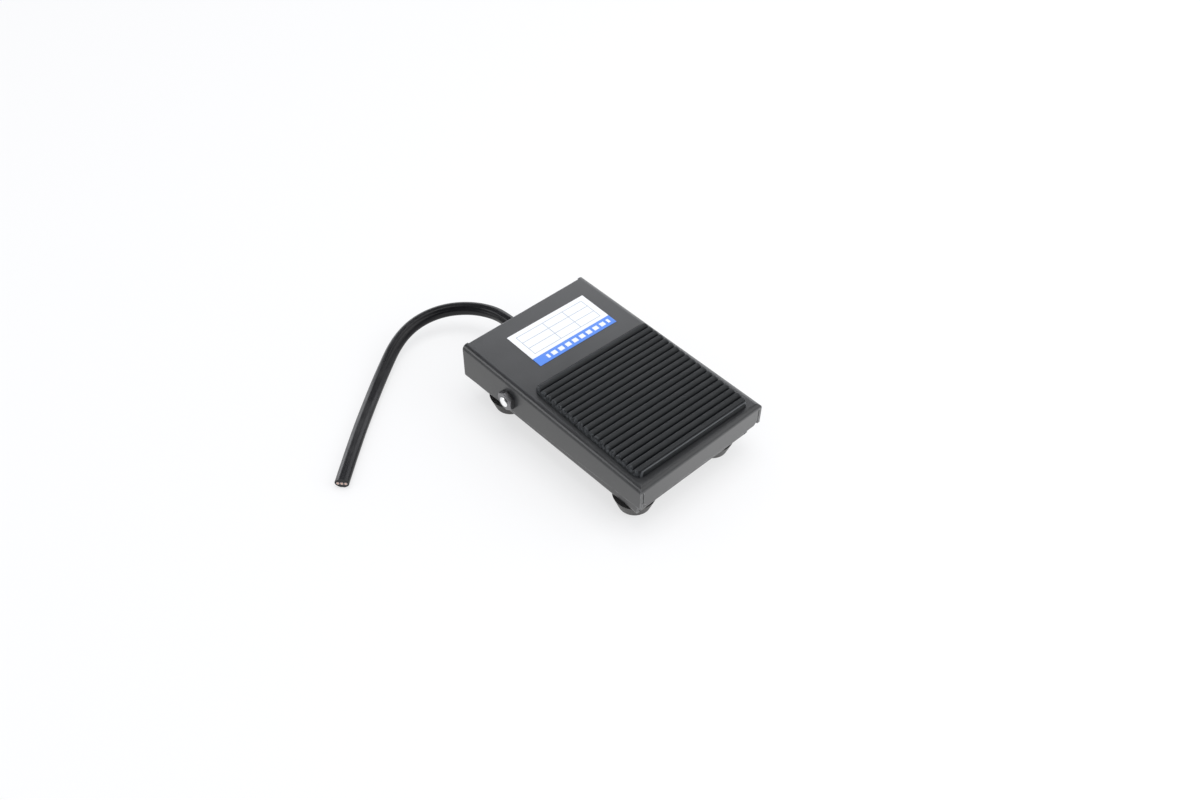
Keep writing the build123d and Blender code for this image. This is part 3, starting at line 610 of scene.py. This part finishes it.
# %% Helpers for finishes
def use_group(tree, group, **inputs):
    """The outputs of a shared group with this material's own values. An underscore stands for a space."""
    node = tree.nodes.new("ShaderNodeGroup")
    node.node_tree = group
    for name, value in inputs.items():
        node.inputs[name.replace("_", " ")].default_value = value
    return node.outputs


def vary(tree, mask, low, high):
    """A value that goes from low to high as the mask goes from 0 to 1."""
    return ease(tree, mask, 0.0, 1.0, low, high)


def times(colour, share):
    """A colour made lighter or darker."""
    return tuple(value * share for value in colour)


def add_principled(tree, inputs):
    """The material's one shader, sent to the surface."""
    shader = add_node(tree, "ShaderNodeBsdfPrincipled", inputs)
    finish_surface(tree, shader.outputs[0])
    return shader


# %% [markdown]
# ## Powder coat
# The cover and the pan are sheet steel with a black powder coat. Powder melts into a skin with a
# very fine orange-peel texture, and it is satin, not matt. It could be a flat black, but then the
# large plate looks like paper. Grain in the bump and slow changes of roughness make it steel.

# %% Powder coat
coat_gloss = (0.29, 0.36)
coat_stain = 1.3
# The paler grey on the bends is partly bare steel from wear and partly a painted highlight.
worn_and_highlit_steel = (0.30, 0.30, 0.31)


def powder_coat(name, colour, wear_and_highlight):
    """Black satin powder coat with fine grain, light stains and paler edges, partly wear and partly a painted
    highlight.
    """
    material, tree = new_material(name)
    grain = use_group(tree, grain_group, Size=0.32, Depth=0.012, Detail=2.0)
    stains = use_group(tree, stain_group, Size=22.0, Amount=1.0)
    edges = use_group(tree, wear_and_highlight_group, Width=0.45, Patch_size=2.2, Amount=wear_and_highlight)
    tone = mix_colour(tree, stains["Mask"], colour, times(colour, coat_stain))
    tone = mix_colour(tree, edges["Mask"], tone, worn_and_highlit_steel)
    gloss = vary(tree, stains["Mask"], *coat_gloss)
    add_principled(
        tree,
        {"Base Color": tone, "Roughness": gloss, "Normal": grain["Normal"], "Specular IOR Level": 0.5},
    )
    return material


cover_coat = powder_coat("cover_powder_coat", (0.021, 0.022, 0.0235), wear_and_highlight=0.9)
pan_coat = powder_coat("pan_powder_coat", (0.019, 0.019, 0.021), wear_and_highlight=0.8)
print("finish:", cover_coat.name, pan_coat.name)

# %% [markdown]
# ## Rubber, plastic and metal
# The tread pad is smooth moulded rubber with a soft gloss, the feet are duller. Screws and nuts
# are bright zinc, and the nut on the pivot is dark. Each finish is one short function, so its
# values can be read at once.

# %% Rubber and cable jacket
rubber_gloss_change = 0.12


def soft_black(name, colour, roughness, grain_size, grain_depth, dust, shine):
    """Rubber or cable jacket: near black, with fine grain and a little pale dust."""
    material, tree = new_material(name)
    grain = use_group(tree, grain_group, Size=grain_size, Depth=grain_depth, Detail=3.0)
    stains = use_group(tree, stain_group, Size=7.0, Amount=1.0)
    tone = mix_colour(tree, stains["Mask"], colour, tuple(value + dust for value in colour))
    gloss = vary(tree, stains["Mask"], roughness, roughness + rubber_gloss_change)
    add_principled(
        tree,
        {"Base Color": tone, "Roughness": gloss, "Normal": grain["Normal"], "Specular IOR Level": shine},
    )
    return material


tread_rubber = soft_black(
    "tread_rubber",
    (0.0085, 0.0100, 0.0115),
    roughness=0.50,
    grain_size=0.6,
    grain_depth=0.006,
    dust=0.002,
    shine=0.22,
)
foot_rubber = soft_black(
    "foot_rubber",
    (0.040, 0.039, 0.038),
    roughness=0.60,
    grain_size=0.5,
    grain_depth=0.02,
    dust=0.012,
    shine=0.5,
)
cord_jacket = soft_black(
    "cord_jacket",
    (0.0065, 0.0065, 0.008),
    roughness=0.27,
    grain_size=0.5,
    grain_depth=0.004,
    dust=0.002,
    shine=0.27,
)
print("finish:", tread_rubber.name, foot_rubber.name, cord_jacket.name)

# %% Plastic
plastic_shade = 0.85


def moulded(name, colour, roughness):
    """Plain moulded plastic with a faint surface."""
    material, tree = new_material(name)
    grain = use_group(tree, grain_group, Size=0.25, Depth=0.004, Detail=2.0)
    tone = mix_colour(tree, grain["Value"], colour, times(colour, plastic_shade))
    add_principled(tree, {"Base Color": tone, "Roughness": roughness, "Normal": grain["Normal"]})
    return material


core_plastic = moulded("core_plastic", (0.50, 0.42, 0.40), roughness=0.45)
wire_plastic = moulded("wire_plastic", (0.20, 0.07, 0.03), roughness=0.40)
switch_plastic = moulded("switch_plastic", (0.03, 0.03, 0.032), roughness=0.5)
plunger_plastic = moulded("plunger_plastic", (0.55, 0.05, 0.04), roughness=0.35)
clamp_plastic = moulded("clamp_plastic", (0.72, 0.71, 0.66), roughness=0.5)
print("finish:", core_plastic.name, wire_plastic.name, switch_plastic.name)

# %% [markdown]
# ### Painted highlights on the rib ends
# The round ends of the ribs and the ridge of the pad's front edge would catch the light, so a painted
# highlight makes the rubber paler there: small spots at the rib ends and one thin line along the
# front. The spots could be painted on an image, but the finish can find them itself: it measures
# how far a point lies from the pad's middle and turns paler beyond the ends of the ribs.

# %% Painted highlights on the rib ends
pad_centre = (0.3 * MM, -16.2 * MM, 0)
pad_turn = math.radians(-1.5)
highlight_from = 26.0 * MM
highlight_range = (highlight_from - 0.4 * MM, highlight_from + 0.2 * MM)
front_edge = -27.5 * MM
front_edge_half_width = 0.22 * MM
# Painted highlight: the paler rubber on the rib ends and along the front edge.
highlight_rubber_colour = (0.075, 0.080, 0.085)


def place_on_piece(tree, middle, turn):
    """The place measured from a piece's middle, across and along the turned piece, in metres."""
    place = add_node(tree, "ShaderNodeTexCoord").outputs["Object"]
    from_middle = vector_maths(tree, "SUBTRACT", place, middle)
    turned = {"Vector": from_middle, "Angle": -turn}
    return add_node(tree, "ShaderNodeVectorRotate", turned, rotation_type="Z_AXIS").outputs[0]


tree = tread_rubber.node_tree
split = add_node(tree, "ShaderNodeSeparateXYZ", {0: place_on_piece(tree, pad_centre, pad_turn)}).outputs
at_the_side = ease(tree, maths(tree, "ABSOLUTE", split["X"]), *highlight_range)
at_the_front = maths(tree, "COMPARE", split["Y"], front_edge, front_edge_half_width)
spots = use_group(tree, stain_group, Size=0.9, Amount=1.0)
highlit = maths(tree, "MULTIPLY", at_the_side, spots["Mask"])
highlit = maths(tree, "MAXIMUM", highlit, at_the_front)
rubber_shader = next(node for node in tree.nodes if node.bl_idname == "ShaderNodeBsdfPrincipled")
plain_tone = rubber_shader.inputs["Base Color"].links[0].from_socket
# The painted highlight is mixed into the rubber's own colour.
highlit_tone = mix_colour(tree, highlit, plain_tone, highlight_rubber_colour)
tree.links.new(highlit_tone, rubber_shader.inputs["Base Color"])
print("scuffed beyond", round(highlight_from / MM, 1), "mm from the pad's middle")

# %% [markdown]
# ### Metal
# Plated steel is smooth but never even, so its gloss changes slowly over the surface. The
# pivot bolt is the brightest piece: its zinc is painted paler than the screws', to stand in for
# the light on its end. Its nut is dark.

# %% Metal
metal_gloss_change = 0.14
metal_shade = 0.8


def plated(name, colour, roughness):
    """Plated or drawn metal: fine grain and slow changes of gloss."""
    material, tree = new_material(name)
    grain = use_group(tree, grain_group, Size=0.35, Depth=0.004, Detail=4.0)
    stains = use_group(tree, stain_group, Size=2.5, Amount=1.0)
    tone = mix_colour(tree, stains["Mask"], colour, times(colour, metal_shade))
    gloss = vary(tree, stains["Mask"], roughness, roughness + metal_gloss_change)
    add_principled(
        tree,
        {"Base Color": tone, "Roughness": gloss, "Metallic": 1.0, "Normal": grain["Normal"]},
    )
    return material


zinc_plate = plated("zinc_plate", (0.82, 0.83, 0.85), roughness=0.20)
# The same zinc, painted paler: painted light on the bolt's end.
bolt_zinc_painted_paler = plated("bolt_zinc_painted_paler", (0.95, 0.96, 0.97), roughness=0.30)
dark_nut = plated("dark_nut", (0.20, 0.20, 0.21), roughness=0.28)
spring_steel = plated("spring_steel", (0.50, 0.50, 0.52), roughness=0.28)
contact_brass = plated("contact_brass", (0.80, 0.62, 0.34), roughness=0.25)
copper = plated("copper", (0.66, 0.45, 0.36), roughness=0.34)
print("finish:", zinc_plate.name, bolt_zinc_painted_paler.name, dark_nut.name, spring_steel.name)

# %% [markdown]
# ## The label
# The label is a white film with a blue band, a few ruled lines and a row of plain marks. Lines
# this thin could be meshes, but they are print, so they belong to the label's finish. The finish
# works out each point's place on the label in millimetres and compares it with the place of each
# line.

# %% Label sizes
label_low, label_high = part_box("label")
label_middle = tuple((Vector(label_low) + Vector(label_high)) / 2)
label_turn = math.radians(-1.3)
label_width = 37.4
label_length = 19.8
band_half_length = 2.3
band_middle = -label_length / 2 + band_half_length
line_half_width = 0.11
row_places = (7.6, 3.9, 0.2, -3.5)
row_half_length = 16.2
column_places = (-16.1, -3.4, 6.4, 16.1)
column_middle = 2.05
column_half_length = 5.6
mark_pitch = 3.4
mark_half_width = 1.1
mark_half_height = 1.0
marks_middle = 1.7
marks_half_run = 15.3
film_white, film_stain = (0.86, 0.875, 0.90), (0.74, 0.76, 0.80)
line_grey = (0.30, 0.36, 0.46)
band_blue = (0.075, 0.23, 0.76)
mark_white = (0.80, 0.83, 0.88)
print("label:", label_width, "by", label_length, "mm, turned", round(math.degrees(label_turn), 1), "degrees")

# %% Label
label_material, tree = new_material("label_film")
label_place = place_on_piece(tree, label_middle, label_turn)
in_mm = vector_maths(tree, "MULTIPLY", label_place, (mm_per_metre,) * 3)
split = add_node(tree, "ShaderNodeSeparateXYZ", {0: in_mm}).outputs
across, along = split["X"], split["Y"]


def patch(across_middle, across_reach, along_middle, along_reach):
    """1 on a straight patch of the label, else 0."""
    in_width = maths(tree, "COMPARE", across, across_middle, across_reach)
    in_length = maths(tree, "COMPARE", along, along_middle, along_reach)
    return maths(tree, "MULTIPLY", in_width, in_length)


lines = [patch(0.0, row_half_length, row, line_half_width) for row in row_places]
lines += [patch(column, line_half_width, column_middle, column_half_length) for column in column_places]
ruled = lines[0]
for line in lines[1:]:
    ruled = maths(tree, "MAXIMUM", ruled, line)
band = maths(tree, "COMPARE", along, band_middle, band_half_length)
wrapped = maths(tree, "WRAP", across, mark_pitch / 2, -mark_pitch / 2)
marks_run = patch(marks_middle, marks_half_run, band_middle, mark_half_height)
marks = maths(tree, "MULTIPLY", marks_run, maths(tree, "COMPARE", wrapped, 0.0, mark_half_width))
stains = use_group(tree, stain_group, Size=8.0, Amount=0.25)
tone = mix_colour(tree, stains["Mask"], film_white, film_stain)
tone = mix_colour(tree, ruled, tone, line_grey)
tone = mix_colour(tree, band, tone, band_blue)
tone = mix_colour(tree, marks, tone, mark_white)
add_principled(tree, {"Base Color": tone, "Roughness": 0.38})
print("label finish:", len(lines), "ruled lines")

# %% [markdown]
# ## The tread pad
# The pad is moulded in one piece: a rubber sheet with broad flat ribs and narrow grooves. The
# ribs run right up to the sides and end in small round lumps. The band at the front is a little
# lower and carries one fine line. Ribs could be separate rods laid on a sheet, but they would
# meet it in a hard line. One height field does it better: each point of a fine grid asks how far
# it is from the nearest rib, and rises by a smooth curve.

# %% Pad sizes
pad_width = 53.9 * MM
pad_length = 55.8 * MM
pad_corner = 3.0 * MM
pad_sheet = 1.2 * MM
edge_round = 0.4 * MM
rib_count = 19  # the last one is the band at the front
rib_pitch = 2.847 * MM
rib_half_width = 1.28 * MM
rib_height = 1.3 * MM
rib_fullness = 3.5
rib_end_round = 0.7 * MM
rib_end_fullness = 2.5
rib_side_margin = 0.3 * MM
rear_rib_place = 25.6 * MM
front_band_share = 0.86
front_line_place = -26.8 * MM
front_line_half_width = 0.22 * MM
front_line_depth = 0.3 * MM
plate_rear_height = 25.4 * MM
plate_front_height = 23.2 * MM
plate_length = 95.0 * MM
plate_slope = (plate_rear_height - plate_front_height) / plate_length
plate_middle_height = (plate_rear_height + plate_front_height) / 2
grid_across = 200
grid_along = 420
edge_finer = 0.35
pad_sharp_angle = 60
print("pad:", round(pad_width / MM, 1), "by", round(pad_length / MM, 1), "mm")


# %% Pad heights
def row_half_width(v):
    """Half the pad's width at this distance from its middle, less at the round corners."""
    into_corner = abs(v) - (pad_length / 2 - pad_corner)
    if into_corner <= 0:
        return pad_width / 2
    return pad_width / 2 - pad_corner + math.sqrt(max(pad_corner**2 - into_corner**2, 0.0))


def rib_rise(u, v):
    """Height over the sheet of the rib nearest to this point. The last rib runs on as the front band."""
    number = round((rear_rib_place - v) / rib_pitch)
    number = max(0, min(rib_count - 1, number))
    across_rib = (v - rear_rib_place + number * rib_pitch) / rib_half_width
    line_cut = 0.0
    height = rib_height
    if number == rib_count - 1:
        height = rib_height * front_band_share
        across_rib = max(across_rib, 0.0)
        line_cut = front_line_depth * max(1 - (abs(v - front_line_place) / front_line_half_width) ** 2, 0.0)
    half_run = row_half_width(v) - rib_side_margin - rib_end_round
    beyond = max(abs(u) - half_run, 0.0) / rib_end_round
    if abs(across_rib) >= 1 or beyond >= 1:
        return 0.0
    rounded_rib = (1 - abs(across_rib) ** rib_fullness) * (1 - beyond**rib_end_fullness)
    return height * math.sqrt(rounded_rib) - line_cut


print("a rib rises", round(rib_rise(0.0, rear_rib_place) / MM, 2), "mm over the sheet")


# %% Pad edge and grid
def edge_drop(u, v):
    """How much the sheet's top falls away as it nears its edge."""
    inside = min(row_half_width(v) - abs(u), pad_length / 2 - abs(v))
    if inside >= edge_round:
        return 0.0
    return edge_round - math.sqrt(max(edge_round**2 - (edge_round - inside) ** 2, 0.0))


def spread(number, count):
    """From -1 to 1 in steps that get finer near both ends."""
    even = 2 * number / count - 1
    return math.sin(even * math.pi / 2) * edge_finer + even * (1 - edge_finer)


print("grid:", grid_across, "by", grid_along, "squares")


# %% Pad mesh
verts = []
for row in range(grid_along + 1):
    v = spread(row, grid_along) * pad_length / 2
    for column in range(grid_across + 1):
        u = spread(column, grid_across) * row_half_width(v)
        verts.append(Vector((u, v, pad_sheet + rib_rise(u, v) - edge_drop(u, v))))
faces = []
stride = grid_across + 1
for row in range(grid_along):
    for column in range(grid_across):
        corner = row * stride + column
        faces.append((corner, corner + 1, corner + stride + 1, corner + stride))
rim = list(range(stride))
rim += [row * stride + grid_across for row in range(1, grid_along + 1)]
rim += [grid_along * stride + column for column in range(grid_across - 1, -1, -1)]
rim += [row * stride for row in range(grid_along - 1, 0, -1)]
under = len(verts)
verts += [Vector((verts[index].x, verts[index].y, 0.0)) for index in rim]
for step, index in enumerate(rim):
    following = (step + 1) % len(rim)
    faces.append((rim[following], index, under + step, under + following))
faces.append(tuple(under + step for step in range(len(rim))))
pad = add_piece("ribbed_pad", verts, faces)
pad_middle = Vector(pad_centre)
slope_angle = math.atan(plate_slope)
to_plate = (
    Matrix.Translation((pad_middle.x, pad_middle.y, plate_middle_height + pad_middle.y * plate_slope))
    @ Matrix.Rotation(slope_angle, 4, "X")
    @ Matrix.Rotation(pad_turn, 4, "Z")
)
pad.data.transform(to_plate)
face_outwards(pad)
smooth_by_angle(pad, pad_sharp_angle)
pad.data.materials.append(tread_rubber)
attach(pad, "pedal")
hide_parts("tread_pad")
print("pad:", len(pad.data.polygons), "faces,", rib_count - 1, "ribs and a front band")

# %% [markdown]
# ## The return spring
# The spring lifts the pedal. When the pedal goes down, the spring gets shorter. A rigid mesh
# would poke through the plate when the pedal goes down. The coil is its own piece with its own mesh, hung on
# the base.

# %% Spring
spring_low, spring_high = (Vector(corner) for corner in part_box("return_spring"))
spring_place = Vector((0.0, (spring_low.y + spring_high.y) / 2, 0.0))
wire_radius = 0.5 * MM
spring_radius = 4.2 * MM
spring_turns = 3.5
steps_per_turn = 36
wire_steps = 12
spring_bottom = spring_low[2] + wire_radius
spring_height = spring_high[2] - spring_low[2] - 2 * wire_radius
rings = []
spring_steps = round(spring_turns * steps_per_turn)
for step in range(spring_steps + 1):
    angle = 2 * math.pi * step / steps_per_turn
    share = step / spring_steps
    outward = Vector((math.cos(angle), math.sin(angle), 0))
    middle = spring_place + outward * spring_radius + Vector((0, 0, spring_bottom + spring_height * share))
    ring = []
    for wire_step in range(wire_steps):
        wire_angle = 2 * math.pi * wire_step / wire_steps
        upward = Vector((0, 0, wire_radius * math.sin(wire_angle)))
        ring.append(middle + outward * wire_radius * math.cos(wire_angle) + upward)
    rings.append(ring)
spring = tube_from_rings("spring_coil", rings)
face_outwards(spring)
smooth_by_angle(spring, tube_sharp_angle)
spring.data.materials.append(spring_steel)
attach(spring, "base")
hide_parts("return_spring")
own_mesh(spring)
print("spring:", spring_turns, "turns,", round(spring_height / MM, 1), "mm high")

# %% [markdown]
# ## Finishes for the pieces of the frame
# Every piece that stays as the frame gives it gets one of the finishes above.

# %% Dress the frame
finish_of = {
    cover_coat: ["pedal_cover"],
    pan_coat: ["base_pan"],
    label_material: ["label"],
    foot_rubber: ["foot_front_left", "foot_front_right", "foot_rear_left", "foot_rear_right", "cord_grommet"],
    zinc_plate: [
        "pivot_spacers", "pivot_sleeve", "foot_screws", "foot_washers", "foot_nuts", "spring_post",
        "spring_guide", "press_stud", "switch_bracket", "bracket_rivets", "switch_screws",
        "switch_nuts", "clamp_screws", "lever_pin",
    ],
    bolt_zinc_painted_paler: ["pivot_bolt"],
    dark_nut: ["pivot_nut"],
    spring_steel: ["switch_lever"],
    contact_brass: ["switch_terminals", "switch_contacts", "switch_blade"],
    switch_plastic: ["switch_case", "switch_cover"],
    plunger_plastic: ["switch_plunger"],
    clamp_plastic: ["clamp_block", "clamp_bar"],
    cord_jacket: ["cord_inner_end"],
    wire_plastic: ["wires"],
}
for material, names in finish_of.items():
    for name in names:
        slots = nodes[name].material_slots
        for index in range(len(slots)):
            slots[index].link = "OBJECT"
            slots[index].material = material
cord.data.materials.append(cord_jacket)
for core, copper_end in zip(cores, coppers):
    core.data.materials.append(core_plastic)
    copper_end.data.materials.append(copper)
print("dressed:", sum(len(names) for names in finish_of.values()), "pieces of the frame")

# %% [markdown]
# ## The view
# The colours are shown through the plain Standard view transform.

# %% View transform
bpy.context.scene.view_settings.view_transform = "Standard"
